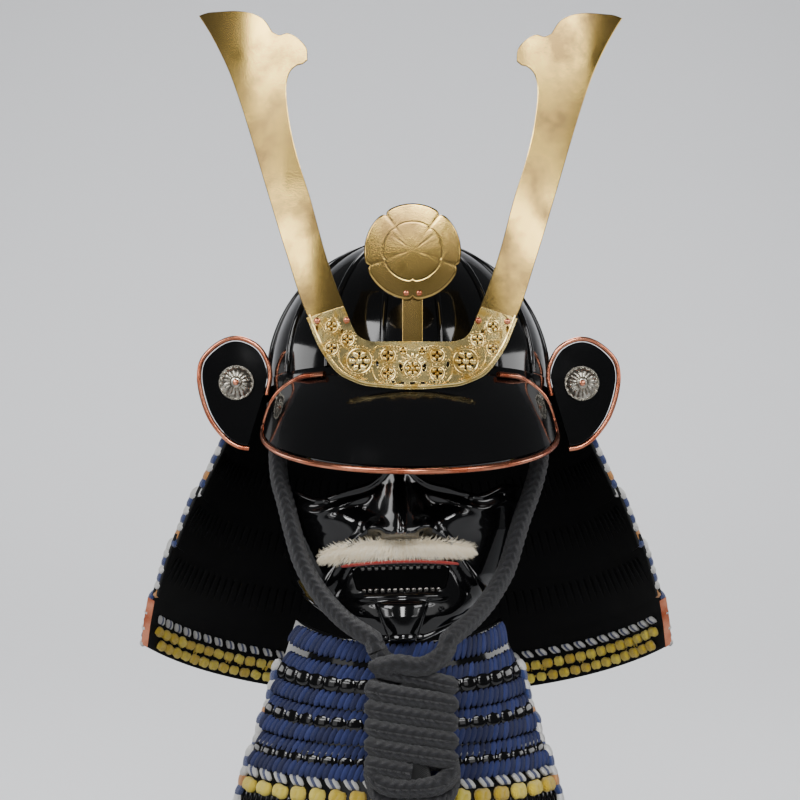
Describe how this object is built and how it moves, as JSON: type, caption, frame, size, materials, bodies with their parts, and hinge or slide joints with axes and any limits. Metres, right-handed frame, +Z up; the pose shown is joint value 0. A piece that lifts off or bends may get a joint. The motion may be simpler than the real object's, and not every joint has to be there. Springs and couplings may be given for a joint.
{
  "type": "samurai helmet with face mask and throat guard",
  "caption": "Japanese samurai helmet in black lacquer with gilt horns and crest, laced neck guard, face mask with moustache, throat guard and knotted chin cord.",
  "frame": {"origin": "centre of the bowl's lower rim, the level at which the helmet sits on a head", "axes": "+Z up, +Y towards the back of the neck guard, the face looks along -Y, +X to the viewer's right"},
  "size_m": [0.4526, 0.3844, 0.7161],
  "materials": {
    "black_lacquer": "mirror gloss black lacquer over steel",
    "gilt_brass": "polished",
    "pale_gilt": "pierced and gilded",
    "copper": "satin copper",
    "blue_lacing": "braided cord",
    "black_cord": "woven round cord",
    "white_hair": "animal hair",
    "red_felt": "felt"
  },
  "bodies": {
    "root": {"bowl": "black_lacquer", "waist_band": "black_lacquer", "peak": "black_lacquer", "ear_left": "black_lacquer", "ear_right": "black_lacquer", "mask": "black_lacquer", "neck_lame_1": "black_lacquer", "neck_lame_2": "black_lacquer", "neck_lame_3": "black_lacquer", "neck_lame_4": "black_lacquer", "neck_lame_5": "black_lacquer", "throat_lame_1": "black_lacquer", "throat_lame_2": "black_lacquer", "throat_lame_3": "black_lacquer", "throat_lame_4": "black_lacquer", "crown_ring": "gilt_brass", "crest_post": "gilt_brass", "crest_disc": "gilt_brass", "horn_left": "gilt_brass", "horn_right": "gilt_brass", "ear_crest_left": "gilt_brass", "ear_crest_right": "gilt_brass", "corner_plate_left": "gilt_brass", "corner_plate_right": "gilt_brass", "horn_holder": "pale_gilt", "peak_rim": "copper", "ear_rim_left": "copper", "ear_rim_right": "copper", "edge_strip_left": "copper", "edge_strip_right": "copper", "crest_rivet_1": "copper", "crest_rivet_2": "copper", "horn_rivet_left_1": "copper", "horn_rivet_left_2": "copper", "horn_rivet_right_1": "copper", "horn_rivet_right_2": "copper", "neck_lacing_2": "blue_lacing", "neck_lacing_3": "blue_lacing", "neck_lacing_4": "blue_lacing", "neck_lacing_5": "blue_lacing", "throat_lacing_1": "blue_lacing", "throat_lacing_2": "blue_lacing", "throat_lacing_3": "blue_lacing", "throat_lacing_4": "blue_lacing", "moustache": "white_hair", "lip_felt": "red_felt", "chin_cord_left": "black_cord", "chin_cord_right": "black_cord", "chin_knot": "black_cord", "cord_tail_left": "black_cord", "cord_tail_right": "black_cord"}
  },
  "joints": []
}
